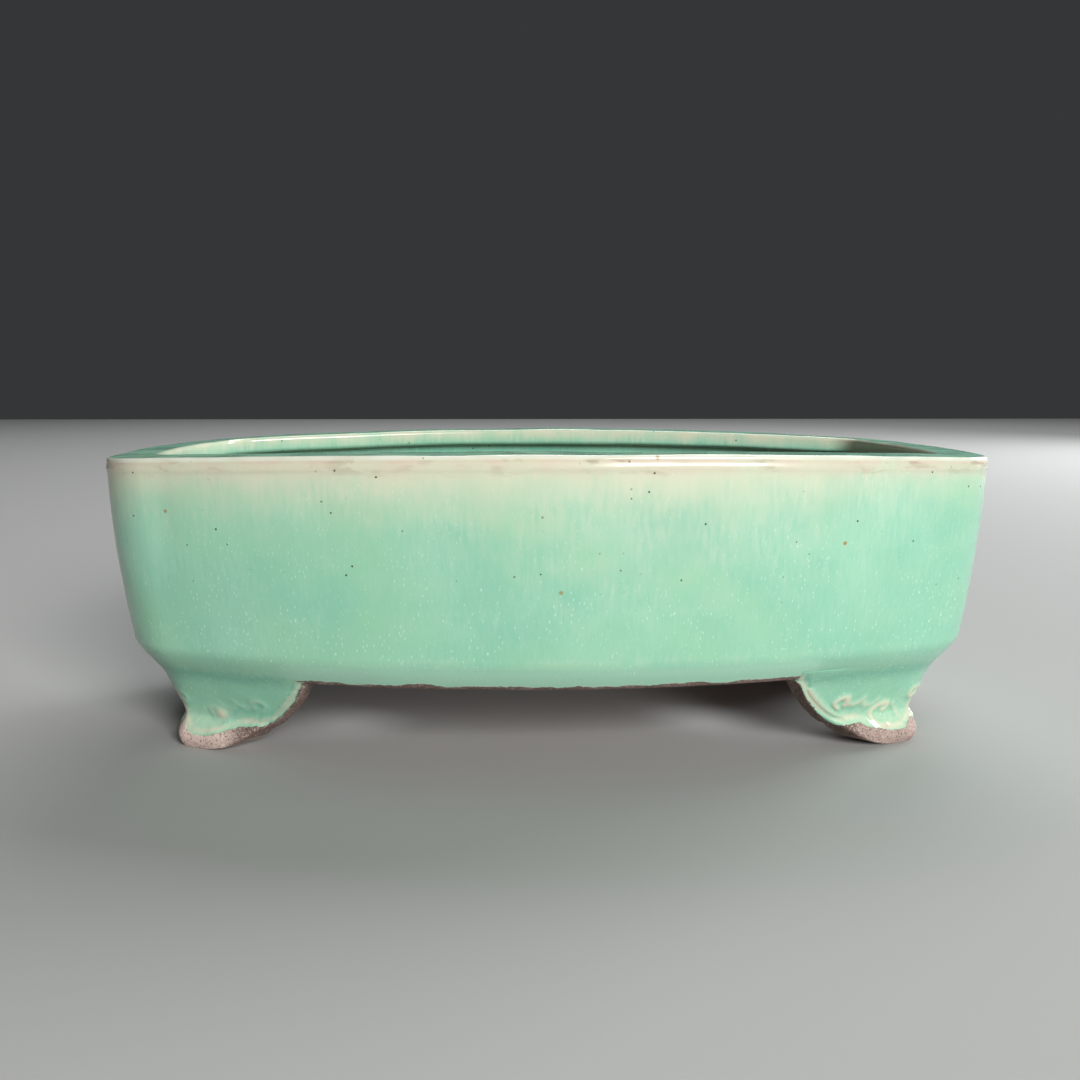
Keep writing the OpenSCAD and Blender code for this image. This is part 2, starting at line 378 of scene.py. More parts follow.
def skin_layers(points, inset, z, side):
    """The painted layers of the skin, from depth below the rim, side of the wall and noise."""
    outside, top, inside = side == OUTSIDE, side == TOP, side == INSIDE
    x, y = points[..., 0], points[..., 1]
    depth, low = POT_H - z, z - FOOT_H
    slow = noise_at(points, 16 * MM, 11)
    quick = noise_at(points, 5 * MM, 12)
    footed = over_foot(x, y)
    # Towards the right end, where the inside under the lip is painted in shade
    right = smooth(0, 75 * MM, x)

    near_rim = 0.9 * np.exp(-(np.maximum(depth - 1 * MM + 2.2 * MM * slow, 0) / FADE_NEAR) ** 1.5)
    far_down = 0.38 * bump(25 * MM, 65 * MM, x) * bump(0, FADE_FAR, depth)
    thin = np.hypot(near_rim, far_down) * (1 - 0.35 * smooth(30 * MM, 105 * MM, x))
    shoulder = bump(SHOULDER_Z + 0.4 * MM, 1.6 * MM, z) * (0.12 + 0.1 * slow)
    # Partly thin glaze on the edge, partly a painted highlight: cream on the lip's inner edge and face,
    # paler as if lit
    lip_edge_and_highlight = bump(WALL_T + LIP_W - 0.3 * MM, 1.0 * MM, inset) * (1 - smooth(LIP_H / 2, LIP_H, depth))
    base_line = (1 - smooth(0.9 * MM, 2.3 * MM, low + 0.8 * MM * quick)) * (1 - smooth(0, 0.35, footed))
    # Painted shade: inside, the glaze stops higher towards the right end, so dark bare clay under the lip
    # stands for its shade
    glaze_stop_and_shade = lerp(GLAZE_STOP_LEFT, SHADED_GLAZE_STOP_RIGHT, right) - 0.8 * MM * slow
    # Partly thin glaze, partly a painted highlight: a white line on the rim's rounded outer edge
    rim_edge_and_highlight = bump(0.42 * RIM_EDGE_R, 0.4 * MM, inset) * (depth < RIM_EDGE_R)
    rim_marks = np.maximum(bump(1.35 * MM, 0.7 * MM, depth), 0.6 * bump(2.6 * MM, 2.2 * MM, depth))
    layers = {
        "cream": outside * (thin + shoulder) + (top | inside) * lip_edge_and_highlight * (0.75 + 0.4 * quick),
        # Inside the mouth, below the lip, the glaze is painted darker teal
        "pool": (outside * footed * valley(z) + top * (0.08 + 0.25 * slow) * (1 - lip_edge_and_highlight)
                 + inside * 0.55 * smooth(1 * MM, 6 * MM, depth)),
        "bare": outside * base_line + inside * smooth(-1.2 * MM, 1.2 * MM, depth - glaze_stop_and_shade),
        "edge": outside * rim_edge_and_highlight * (0.85 + 0.5 * quick),
        "rim": outside * rim_marks,
        # Painted shade: the bare clay inside is darker towards the right end
        "scorch": outside * 0.95 + inside * (0.45 + 0.25 * slow + 0.4 * right),
        # Painted light: the shoulder just above the base faces down, and is painted paler as if lit
        "painted_light_band": outside * (1 - smooth(5 * MM, 8.5 * MM, low)) * (1 - 0.8 * footed),
    }
    return [layers[name] for name in LAYERS]


def uneven(points, normals, z, side, step):
    """The skin as a hand-built one: slow swells, ripples, a bead and waves at the rim, and a soft
    crease by each corner."""
    _, j = quarter_step(step)
    outside = side == OUTSIDE
    crease = bump(2.05, 0.035, j) * outside * smooth(45 * MM, 62 * MM, z)
    bead = bump(ROLL_DEPTH, 0.9 * MM, POT_H - z) * outside * (0.8 + 0.5 * noise_at(points, 26 * MM, 4))
    height = SWELL * noise_at(points, 34 * MM, 1) + RIPPLE * noise_at(points, 9 * MM, 2) + BEAD * bead
    height = height - CREASE * crease * (1 - smooth(POT_H - 4 * MM, POT_H, z))
    moved = points + normals * height[..., None]
    wave = RIM_WAVE * noise_at(points * np.array((1, 1, 0)), 24 * MM, 3)
    moved[..., 2] += wave * smooth(POT_H - 12 * MM, POT_H - 1 * MM, z)
    return moved


class Skin:
    """The grid of the pot's upright skin, with its normals, layers and named rows and columns."""

    def __init__(self, n_end=30, n_corner=32, n_side=92):
        profile, self.joint_row, self.lip_row, self.lip_end_row = skin_profile()
        self.last_row = len(profile) - 1
        self.steps = column_steps(n_end, n_corner, n_side)
        quarter = n_end + n_corner + n_side
        mitre = n_end + n_corner // 2
        self.mitres = [mitre, 2 * quarter - mitre, 2 * quarter + mitre, 4 * quarter - mitre]
        inset, z, side = (profile[:, k, None] + 0 * self.steps for k in range(3))
        step = self.steps + 0 * inset
        x, y = plan(step, inset, wall_corner(z))
        points = np.stack([x, y, settle(x, z)], axis=-1)
        self.profile = profile
        self.points = uneven(points, grid_normals(points, True), z, side, step)
        self.normals = grid_normals(self.points, True)
        self.layers = skin_layers(points, inset, z, side)

    def piece(self, name, rows, columns, closed):
        """A solid from some rows, joined into a ring, swept along some columns."""
        pick = np.ix_(rows, columns)
        index = np.arange(len(rows) * len(columns)).reshape(len(rows), len(columns))
        faces = [list(f) for f in grid_faces(np.concatenate([index, index[:1]]), closed)]
        if not closed:
            section = [Vector((self.profile[r, 0], self.profile[r, 1], 0)) for r in rows]
            for a, b, c in geometry.tessellate_polygon([section]):
                faces.append([index[a, 0], index[b, 0], index[c, 0]])
                faces.append([index[c, -1], index[b, -1], index[a, -1]])
        return make_piece(name, self.points[pick].reshape(-1, 3), faces,
                          [layer[pick].ravel() for layer in self.layers],
                          self.normals[pick].reshape(-1, 3))


def make_walls(skin, glaze):
    """The four wall slabs, mitred at the corners, and the lip strip inside the mouth."""
    count = len(skin.steps)
    outer_rows = list(range(skin.joint_row, skin.lip_row + 1))
    inner_rows = list(range(skin.lip_end_row, skin.last_row + 1))
    mitres = [*skin.mitres, skin.mitres[0] + count]
    for node, first, last in zip(("back_wall", "left_wall", "front_wall", "right_wall"), mitres, mitres[1:]):
        columns = [c % count for c in range(first, last + 1)]
        wall = skin.piece("glazed_" + node, outer_rows + inner_rows, columns, False)
        wall.data.materials.append(glaze)
        place_piece(wall, node)
    lip_rows = list(range(skin.lip_row, skin.lip_end_row + 1))
    lip = skin.piece("glazed_rim_lip", lip_rows, list(range(count)), True)
    lip.data.materials.append(glaze)
    place_piece(lip, "rim_lip")


# ---------------------------------------------------------------- the base slab

def hole_list():
    """Centre, radius and number of points of each hole in the base."""
    drains = [(s * DRAIN_X, 0, DRAIN_R, DRAIN_POINTS) for s in (-1, 1)]
    wires = [(s * WIRE_X, t * WIRE_Y, WIRE_R, WIRE_POINTS) for s in (-1, 1) for t in (-1, 1)]
    return drains + wires


def hole_ring(x, y, r, count):
    """A ring of points in plan about the centre of a hole."""
    a = np.linspace(0, 2 * np.pi, count, endpoint=False)
    return np.stack([x + r * np.cos(a), y + r * np.sin(a)], axis=1)


def hole_levels(r):
    """Radius and height of the rings down the wall of a hole, rounded above and below."""
    edge = [(r + HOLE_EDGE_R * (1 - np.sin(a)), HOLE_EDGE_R * (1 - np.cos(a)))
            for a in np.radians(np.linspace(0, 90, 6))[1:]]
    return ([(radius, BASE_TOP - below) for radius, below in edge]
            + [(r, lerp(BASE_TOP, FOOT_H, t)) for t in (0.3, 0.5, 0.7)]
            + [(radius, FOOT_H + above) for radius, above in edge[::-1]])


def hole_distance(points):
    """Distance in plan from each point to the rounded edge of the nearest hole."""
    return np.min([np.hypot(points[:, 0] - x, points[:, 1] - y) - r - HOLE_EDGE_R
                   for x, y, r, _ in hole_list()], axis=0)


def inside_ring(points, ring):
    """Which points lie inside a convex ring that runs anticlockwise."""
    result = np.ones(len(points), bool)
    for a, b in zip(ring, np.roll(ring, -1, axis=0)):
        result &= (b[0] - a[0]) * (points[:, 1] - a[1]) > (b[1] - a[1]) * (points[:, 0] - a[0])
    return result


def flat_fill(outer, rings, spacing):
    """Points and triangles that fill an outline in plan, but not the rings of its holes."""
    xs = np.arange(outer[:, 0].min(), outer[:, 0].max(), spacing)
    ys = np.arange(outer[:, 1].min(), outer[:, 1].max(), spacing)
    loose = np.array([(x + (k % 2) * spacing / 2, y) for k, y in enumerate(ys) for x in xs])
    within = inside_ring(loose, lerp(outer.mean(0), outer, 0.985))
    loose = loose[within & (hole_distance(loose) > 0.6 * spacing)]
    plan_points = np.concatenate([outer, *rings, loose])
    edges, start = [], 0
    for ring in (outer, *rings):
        edges += [(start + k, start + (k + 1) % len(ring)) for k in range(len(ring))]
        start += len(ring)
    made = geometry.delaunay_2d_cdt([Vector(p) for p in plan_points], edges, [], 1, 1e-7)
    assert len(made[0]) == len(plan_points)
    ring_of = np.repeat(np.arange(len(rings) + 2), [len(outer), *map(len, rings), len(loose)])
    in_hole = [len(set(ring_of[list(f)])) == 1 and 1 <= ring_of[f[0]] <= len(rings) for f in made[2]]
    return plan_points, [list(f) for f, skipped in zip(made[2], in_hole) if not skipped]


class BaseMesh:
    """Points, normals, layers and faces of the base slab, started from its edge in the skin."""

    def __init__(self, skin):
        rows = [*range(skin.joint_row + 1), skin.last_row]
        self.count = len(skin.steps)
        pick = np.ix_(rows, range(self.count))
        self.points = list(skin.points[pick].reshape(-1, 3))
        self.normals = list(skin.normals[pick].reshape(-1, 3))
        self.layers = [list(layer[pick].ravel()) for layer in skin.layers]
        index = np.arange(len(self.points)).reshape(len(rows), self.count)
        self.faces = [list(f) for f in grid_faces(index, True)]
        self.under_edge, self.floor_edge = index[0], index[-1]

    def add(self, points, scorch):
        """Adds points of bare clay and returns their numbers."""
        first = len(self.points)
        values = {"bare": 1.0, "scorch": scorch}
        self.points.extend(points)
        self.normals.extend(np.zeros((len(points), 3)))
        for name, layer in zip(LAYERS, self.layers):
            layer.extend(np.full(len(points), values.get(name, 0.0)))
        return first + np.arange(len(points))

    def add_sheet(self, edge, height, facing, rims):
        """Fills the outline at a height, facing up (1) or down (-1), with lumps away from the holes.
        Returns the numbers of its points, which start with the rims of the holes."""
        outer = np.array([self.points[i][:2] for i in edge])
        flat, triangles = flat_fill(outer, rims, SHEET_SPACING)
        new = np.column_stack([flat[self.count:], np.full(len(flat) - self.count, height)])
        lumps = FLOOR_LUMP * noise_at(new, 14 * MM, 21) + FLOOR_GRIT * noise_at(new, 3.2 * MM, 22)
        new[:, 2] += smooth(0, 4 * MM, hole_distance(new)) * (lumps if facing > 0 else np.abs(lumps))
        number = np.concatenate([edge, self.add(new, SHEET_SCORCH)])
        self.faces += [[int(number[i]) for i in f[::facing]] for f in triangles]
        return number[self.count:]

    def add_hole(self, x, y, r, floor_rim, under_rim):
        """The wall of a hole, from its rim in the floor down to its rim in the underside."""
        size = len(floor_rim)
        rings = []
        for radius, z in hole_levels(r):
            ring = np.column_stack([hole_ring(x, y, radius, size), np.full(size, z)])
            rings.append(self.add(ring, HOLE_SCORCH))
        self.faces += [list(f) for f in grid_faces(np.array([floor_rim, *rings, under_rim]), True)]


def make_base(skin, glaze, clay):
    """The base slab: its glazed edge from the skin, its bare floor and underside, and its holes."""
    base = BaseMesh(skin)
    glazed = len(base.faces)
    rims = [hole_ring(x, y, r + HOLE_EDGE_R, size) for x, y, r, size in hole_list()]
    floor = base.add_sheet(base.floor_edge, BASE_TOP, 1, rims)
    under = base.add_sheet(base.under_edge, FOOT_H, -1, rims)
    start = 0
    for x, y, r, size in hole_list():
        base.add_hole(x, y, r, floor[start:start + size], under[start:start + size])
        start += size
    slab = make_piece("stoneware_base", np.array(base.points), base.faces,
                      [np.array(layer) for layer in base.layers], np.array(base.normals))
    slab.data.materials.append(glaze)
    slab.data.materials.append(clay)
    slab.data.polygons.foreach_set("material_index", (np.arange(len(base.faces)) >= glazed).astype(np.int32))
    place_piece(slab, "base_slab")


# ---------------------------------------------------------------- the feet

def foot_face(z):
    """Inset of a foot's outer face at height z: it leans in to the waist and flares to the toe."""
    t = (FOOT_H - z) / (FOOT_H - WAIST_Z)
    upper = FOOT_INSET + FOOT_LEAN * t * (1.1 - 0.1 * t**6)
    flare = (1 - np.cos(np.pi * np.clip((WAIST_Z - z) / (WAIST_Z - TOE_Z), 0, 1))) / 2
    under = 1 - np.sqrt(1 - np.clip((TOE_Z - z) / TOE_Z, 0, 1) ** 2)
    lower = FOOT_INSET + FOOT_LEAN - TOE_FLARE * flare + TOE_ROUND * under
    return np.where(z >= WAIST_Z, upper, lower)


def foot_corner(z):
    """Corner radius of a foot's outline at height z: the wall's at its top, and a ridge from its waist
    down."""
    return lerp(CORNER_LOW_R, RIDGE_R, np.clip((FOOT_H - z) / (FOOT_H - WAIST_Z), 0, 1))


def foot_back(z):
    """Inset of a foot's back at height z."""
    return lerp(TOE_BACK, FOOT_BACK, z / FOOT_H)


def foot_skirt(z, blend):
    """Inset at height z of the outer face and of the skirt that blends it into the wall above."""
    foot_in = np.where(z <= FOOT_H, foot_face(np.minimum(z, FOOT_H)),
                       FOOT_INSET - 1.1 * FOOT_LEAN * (z - FOOT_H) / (FOOT_H - WAIST_Z))
    shoulder_in = np.where(z >= FOOT_H, wall_inset(z), FOOT_INSET + 0.99 * (FOOT_H - z))
    gap = np.maximum(blend - np.abs(foot_in - shoulder_in), 0)
    inset = np.minimum(foot_in, shoulder_in) - gap**2 / (4 * np.maximum(blend, 1e-9))
    return inset + SKIRT_SINK * smooth(0.75, 1.0, (z - FOOT_H) / SKIRT_H)


def foot_edge(u, leg):
    """Height of a foot's lower edge at a distance u along a leg: a toe, two lobes and a flare."""
    toe, cusp, lobe = 0.1 * leg, 0.56 * leg, 0.88 * leg
    cusp_z, lobe_z = 0.29 * FOOT_H, 0.71 * FOOT_H
    first = cusp_z * np.clip((u - toe) / (cusp - toe), 0, 1) ** 1.9
    second = lerp(cusp_z, lobe_z, np.clip((u - cusp) / (lobe - cusp), 0, 1) ** 1.4)
    flare = lerp(lobe_z, FOOT_H - 0.6 * MM, 1 - np.clip((leg - u) / (leg - lobe), 0, 1) ** 1.2)
    return np.where(u <= cusp, first, np.where(u <= lobe, second, flare))


def foot_plan(part, t, inset, cr):
    """Points of a foot in plan, at a share t of the short leg, of the corner or of the long leg."""
    _, _, end_a, side_a = corner_arc(cr)
    short_a, long_a = foot_tips()
    angle = np.where(part == SHORT, lerp(end_a, short_a, t),
                     np.where(part == CORNER, lerp(end_a, side_a, t), lerp(side_a, long_a, t)))
    return arc_points(part == SHORT, part == CORNER, angle, inset, cr)


def scroll(s, z, cx, cz, r, a0, a1):
    """Distance from an arc on the unrolled face of a foot, about (cx, cz), from angle a0 to a1."""
    a = np.degrees(np.arctan2(z - cz, s - cx)) % 360
    middle, half = (a0 + a1) / 2, (a1 - a0) / 2
    off = (a - middle + 180) % 360 - 180
    near = np.radians(middle + np.clip(off, -half, half))
    return np.hypot(s - cx - r * np.cos(near), z - cz - r * np.sin(near))


def stroke(s, z, start, end):
    """Distance from a straight line between two points of the unrolled face of a foot."""
    (sa, za), (sb, zb) = start, end
    length2 = (sb - sa) ** 2 + (zb - za) ** 2
    t = np.clip(((s - sa) * (sb - sa) + (z - za) * (zb - za)) / length2, 0, 1)
    return np.hypot(s - lerp(sa, sb, t), z - lerp(za, zb, t))


def foot_relief(s, z, above_edge, leg_share):
    """Height of the raised cloud scrolls and border on a foot's outer face, up to about 1."""
    scale = np.where(s > 0, 1.0, SHORT_LEG / LONG_LEG)
    a, h = np.abs(s) / scale / MM, z / MM
    lines = [bump(0, 1.05, scroll(a, h, 10.4, 8.7, 3.2, -100, 115)),
             bump(0, 0.9, scroll(a, h, 10.0, 11.0, 1.1, 60, 250)),
             0.9 * bump(0, 1.0, scroll(a, h, 24.4, 13.7, 1.7, -60, 200)),
             0.6 * bump(0, 0.8, scroll(a, h, 20.4, 15.4, 2.6, 200, 340)),
             0.6 * bump(0, 0.8, scroll(a, h, 15.2, 14.2, 2.3, 200, 330)),
             0.6 * bump(0, 0.8, stroke(a, h, (7.4, 11.9), (3.8, 7.3))),
             0.8 * bump(0, 0.8, scroll(a, h, 1.8, 14.3, 1.3, -120, 120)),
             0.6 * bump(2.6 * MM, 1.1 * MM, above_edge) * smooth(0.35, 0.55, leg_share)]
    return np.maximum.reduce(lines)


def foot_columns():
    """Part and share of each column of points, from the tip of the short leg to that of the long."""
    short, corner, long = np.linspace(1, 0, 62), np.linspace(0, 1, 42)[1:-1], np.linspace(0, 1, 96)
    part = np.repeat((SHORT, CORNER, LONG), (len(short), len(corner), len(long)))
    return part, np.concatenate([short, corner, long])


def foot_rows(edge, leg_share):
    """Kind, inset, height and corner radius of the rows of points, which run round the section:
    out along the underside, up the outer face and its skirt, and down the joint and the back."""
    room = FOOT_H - edge
    outer_r = np.minimum(lerp(TOE_EDGE_R, LEG_EDGE_R, smooth(0.15, 0.45, leg_share)), 0.5 * room)
    inner_r = np.minimum(BACK_EDGE_R, 0.4 * room)
    blend = SKIRT_BLEND * (1 - smooth(0.86, 0.99, leg_share))
    face_z = edge + outer_r
    inner_flat, outer_flat = foot_back(edge) - inner_r, foot_face(face_z) + outer_r
    inner_cr, outer_cr = foot_back(edge) + BACK_ROUND, foot_corner(face_z)
    rows = []
    for k in np.linspace(0, 1, 6)[:-1]:
        rows.append((UNDER, lerp(inner_flat, outer_flat, k), edge, lerp(inner_cr, outer_cr, k)))
    for a in np.radians(np.linspace(0, 90, 9)[:-1]):
        z = edge + outer_r * (1 - np.cos(a))
        rows.append((ROUND, foot_face(face_z) + outer_r * (1 - np.sin(a)), z, foot_corner(z)))
    for z in [lerp(face_z, FOOT_H, k) for k in np.linspace(0, 1, 50)[:-1]]:
        rows.append((FACE, foot_skirt(z, blend), z, foot_corner(z)))
    for z in FOOT_H + SKIRT_H * np.linspace(0, 1, 10):
        rows.append((FACE, foot_skirt(z, blend), z, wall_corner(z) if z > FOOT_H else foot_corner(z)))
    for inset, z in ((wall_inset(FOOT_H + SKIRT_H) + 1.2 * MM, FOOT_H + SKIRT_H - 0.4 * MM),
                     (FOOT_INSET + 3 * MM, FOOT_H + 0.2 * MM)):
        rows.append((JOINT, inset, z, foot_corner(z)))
    rows.append((JOINT, FOOT_BACK, FOOT_H, FOOT_BACK + BACK_ROUND))
    for k in np.linspace(1, 0, 16)[1:]:
        z = lerp(edge + inner_r, FOOT_H, k)
        rows.append((BACK, foot_back(z), z, foot_back(z) + BACK_ROUND))
    for a in np.radians(np.linspace(90, 0, 7)[1:-1]):
        z = edge + inner_r * (1 - np.cos(a))
        rows.append((BACK, foot_back(edge) - inner_r * (1 - np.sin(a)), z, foot_back(z) + BACK_ROUND))
    return [np.array([value + 0 * edge for value in values]) for values in zip(*rows)]


class Foot:
    """A cloud-shaped foot, with a skirt that runs smoothly up onto the base's edge. It is built in
    the quarter where x and y are positive, and mirrored when it is put in its place."""

    def __init__(self, carving, lump, bare_leg, toe_scorch, seed):
        part, t = foot_columns()
        leg = np.where(part == SHORT, SHORT_LEG, LONG_LEG)
        self.share = np.where(part == CORNER, 0, t)
        self.toe_scorch = toe_scorch
        edge = foot_edge(self.share * leg, leg)
        self.kind, inset, self.z, cr = foot_rows(edge, self.share)
        self.outer = self.kind == FACE
        x, y = foot_plan(part, t, inset, cr)
        self.points = np.stack([x, y, self.z], axis=-1)
        self.covered = over_foot(x, y)

        ways = np.diff(self.points[..., :2], axis=1, prepend=self.points[:, :1, :2])
        run = np.cumsum(np.linalg.norm(ways, axis=-1), axis=1)
        middle = int(np.argmin(np.abs(part - CORNER) + np.abs(t - 0.5)))
        self.from_corner = run - run[:, middle:middle + 1]
        face_row = int(np.argmax(self.outer[:, 0]))
        slope = np.gradient(edge, run[face_row])
        self.above_edge = (self.z - edge) / np.sqrt(1 + slope**2)

        grain = self.points + np.array((0.1, 0.2, 0.3)) * seed
        self.rough = noise_at(grain, 1.3 * MM, 31)
        self.slow = noise_at(grain, 8 * MM, 32)
        fade = (self.outer * smooth(0, 1 * MM, FOOT_H - 2 * MM - self.z)
                * smooth(0.5 * MM, 2 * MM, self.z - self.z[face_row]))
        self.knob = lump * bump(0, 2 * MM, np.hypot(self.from_corner - 12 * MM, self.z - 10.4 * MM))
        self.relief = fade * np.maximum(carving * self.clouds(self.z), self.knob)
        toe_bare = TOE_BARE + TOE_BARE_MIDDLE * bump(0, 3 * MM, self.from_corner)
        self.bare_line = (lerp(toe_bare, bare_leg, smooth(0.38, 0.6, self.share))
                          + 0.5 * MM * self.slow + 0.35 * MM * self.rough)
        bare = 1 - smooth(-0.7 * MM, 0.7 * MM, self.above_edge - self.bare_line)
        self.bare = np.where(self.outer | (self.kind == ROUND), bare, 1.0)

    def clouds(self, z):
        """The carving of the outer face at height z."""
        return foot_relief(self.from_corner, z, self.above_edge, self.share)

    def modelled(self):
        """The points with their carving and unevenness, and no lower than the floor."""
        solid = (self.kind <= FACE) & (self.z < FOOT_H - 0.5 * MM)
        toe_flat = (self.kind == UNDER) & (self.z < 0.5 * MM)
        height = CARVING * self.relief + solid * FOOT_SWELL * self.slow
        height = height + FOOT_GRIT * self.rough * self.bare * (self.kind != JOINT)
        height = np.where(toe_flat, 0, height)
        points = self.points + grid_normals(self.points, False) * height[..., None]
        points[..., 2] = np.maximum(points[..., 2], 0)
        return points

    def painted(self):
        """The painted layers: thin glaze on what stands out, pooled glaze in what lies deep."""
        pooled = self.outer * valley(self.z) * self.covered
        hollow = self.outer * (1 - self.relief) * smooth(0, 0.5, self.clouds(self.z + 1.5 * MM)) * 0.4
        crescent = bump(self.bare_line + 1.2 * MM, 1 * MM, self.above_edge) * (0.75 + 0.6 * self.slow)
        ridge = 0.7 * bump(0, 1.6 * MM, self.from_corner) * (1 - smooth(14 * MM, 18 * MM, self.z))
        low = 0.45 * (1 - smooth(5 * MM, 15 * MM, self.z))
        rubbed = 0.6 * self.outer * ridge + 0.4 * self.relief * (self.slow > 0.1)
        scorched = lerp(self.toe_scorch, 0.95, smooth(0.25, 0.5, self.share))
        layers = {
            "cream": np.maximum(0.95 * self.relief, self.outer * np.maximum.reduce([crescent, ridge, low])),
            "pool": pooled + hollow,
            "bare": self.bare,
            "rim": np.maximum(rubbed, 0.9 * self.knob),
            "scorch": np.where(self.kind <= FACE, scorched, 0.6) + 0.25 * self.slow,
        }
        return [layers.get(name, 0 * self.z).ravel() for name in LAYERS]

    def put(self, node, x_side, y_side, glaze):
        """Makes the mesh on its side of the pot, closed round the section and at both tips."""
        side = np.array((x_side, y_side, 1))
        points = self.modelled()
        normals = np.where((self.kind == JOINT)[..., None], 0, grid_normals(points, False))
        index = np.arange(self.z.size).reshape(self.z.shape)
        faces = [list(f) for f in grid_faces(np.concatenate([index, index[:1]]), False)]
        faces += [index[:, 0].tolist(), index[::-1, -1].tolist()]
        if x_side * y_side < 0:
            faces = [f[::-1] for f in faces]
        foot = make_piece("cloud_" + node, (points * side).reshape(-1, 3), faces, self.painted(),
                          (normals * side).reshape(-1, 3))
        foot.data.materials.append(glaze)
        place_piece(foot, node)


# Each foot's side of the pot in x and y, depth of carving, lump, bare line on its legs and toe scorch
FEET = {
    "foot_front_left": (-1, -1, 0.36, 0.9, 0.8 * MM, -0.2),
    "foot_front_right": (1, -1, 0.95, 0, 0.4 * MM, 0.5),
    "foot_back_left": (-1, 1, 0.8, 0, 0.8 * MM, 0.2),
    "foot_back_right": (1, 1, 0.85, 0, 0.6 * MM, 0.3),
}


def make_feet(glaze):
    """The four feet, each with its own seed for its unevenness."""
    for seed, (node, (x_side, y_side, *nature)) in enumerate(FEET.items(), 1):
        Foot(*nature, seed).put(node, x_side, y_side, glaze)


# ---------------------------------------------------------------- materials

def srgb(r, g, b):
    """A display colour from 0 to 255 as the linear colour that shaders take."""
    c = np.array((r, g, b)) / 255
    return (*np.where(c <= 0.04045, c / 12.92, ((c + 0.055) / 1.055) ** 2.4), 1.0)


class Shader:
    """A material's nodes, built by short calls that each return an output socket."""

    def __init__(self, name):
        self.material = bpy.data.materials.new(name)
        self.material.use_nodes = True
        self.tree = self.material.node_tree
        self.surface = self.tree.nodes["Principled BSDF"]
        self.coordinates = self.tree.nodes.new("ShaderNodeTexCoord").outputs["Object"]

    def feed(self, socket, value):
        """Gives an input a value, which is a number, a colour or another node's output."""
        if isinstance(value, bpy.types.NodeSocket):
            self.tree.links.new(value, socket)
        else:
            socket.default_value = value

    def math(self, operation, a, b, clamp=False):
        node = self.tree.nodes.new("ShaderNodeMath")
        node.operation = operation
        node.use_clamp = clamp
        self.feed(node.inputs[0], a)
        self.feed(node.inputs[1], b)
        return node.outputs[0]

    def plus(self, value, *others):
        for other in others:
            value = self.math("ADD", value, other)
        return value

    def times(self, value, *others):
        for other in others:
            value = self.math("MULTIPLY", value, other)
        return value

    def span(self, value, lo, hi, to_lo=0.0, to_hi=1.0):
        """The value from lo to hi, eased smoothly to a new range and held at its ends."""
        node = self.tree.nodes.new("ShaderNodeMapRange")
        node.interpolation_type = "SMOOTHSTEP"
        inputs = {"Value": value, "From Min": lo, "From Max": hi, "To Min": to_lo, "To Max": to_hi}
        for key, given in inputs.items():
            self.feed(node.inputs[key], given)
        return node.outputs["Result"]

    def mix(self, share, a, b):
        """Colour a, with that share of colour b."""
        node = self.tree.nodes.new("ShaderNodeMix")
        node.data_type = "RGBA"
        self.feed(node.inputs["Factor"], share)
        self.feed(node.inputs[6], a)
        self.feed(node.inputs[7], b)
        return node.outputs[2]

    def stretched(self, x, y, z):
        """Coordinates scaled along each axis, which stretches a pattern where the scale is small."""
        node = self.tree.nodes.new("ShaderNodeMapping")
        node.inputs["Scale"].default_value = (x, y, z)
        self.feed(node.inputs["Vector"], self.coordinates)
        return node.outputs["Vector"]

    def noise(self, size, detail, where=None):
        """Noise about 0 to 1 with features of a size in metres."""
        node = self.tree.nodes.new("ShaderNodeTexNoise")
        node.inputs["Scale"].default_value = 1 / size
        node.inputs["Detail"].default_value = detail
        self.feed(node.inputs["Vector"], where or self.coordinates)
        return node.outputs["Fac"]

    def sway(self, size, detail, where=None):
        """Noise about -0.5 to 0.5 with features of a size in metres."""
        return self.math("SUBTRACT", self.noise(size, detail, where), 0.5)

    def dots(self, spacing, radius, soft, where=None, ragged=None):
        """1 inside scattered dots, set about that spacing apart, with a ragged outline if asked."""
        node = self.tree.nodes.new("ShaderNodeTexVoronoi")
        node.inputs["Scale"].default_value = 1 / spacing
        self.feed(node.inputs["Vector"], where or self.coordinates)
        distance = node.outputs["Distance"]
        if ragged is not None:
            distance = self.plus(distance, self.times(ragged, 2 * radius / spacing))
        return self.span(distance, (radius + soft) / spacing, radius / spacing, 0.0, 1.0)

    def layer(self, name):
        """The painted layer of that name."""
        node = self.tree.nodes.new("ShaderNodeAttribute")
        node.attribute_name = name
        return node.outputs["Fac"]

    def place(self, axis):
        """The position along one axis of the pot."""
        node = self.tree.nodes.new("ShaderNodeSeparateXYZ")
        self.feed(node.inputs[0], self.coordinates)
        return node.outputs[axis]

    def raised(self, value, distance, strength, normal=None):
        """The normal of a surface raised by a value, over that of another if given."""
        node = self.tree.nodes.new("ShaderNodeBump")
        node.inputs["Strength"].default_value = strength
        node.inputs["Distance"].default_value = distance
        self.feed(node.inputs["Height"], value)
        if normal is not None:
            self.feed(node.inputs["Normal"], normal)
        return node.outputs["Normal"]


JADE = srgb(134, 191, 165)
GREEN_JADE = srgb(142, 195, 163)
PALE_JADE = srgb(152, 202, 176)
# Paler jade painted on the downward-facing strip above the base, as painted light
PAINTED_LIGHT_JADE = srgb(166, 213, 188)
TEAL = srgb(100, 170, 147)
CREAM = srgb(202, 205, 180)
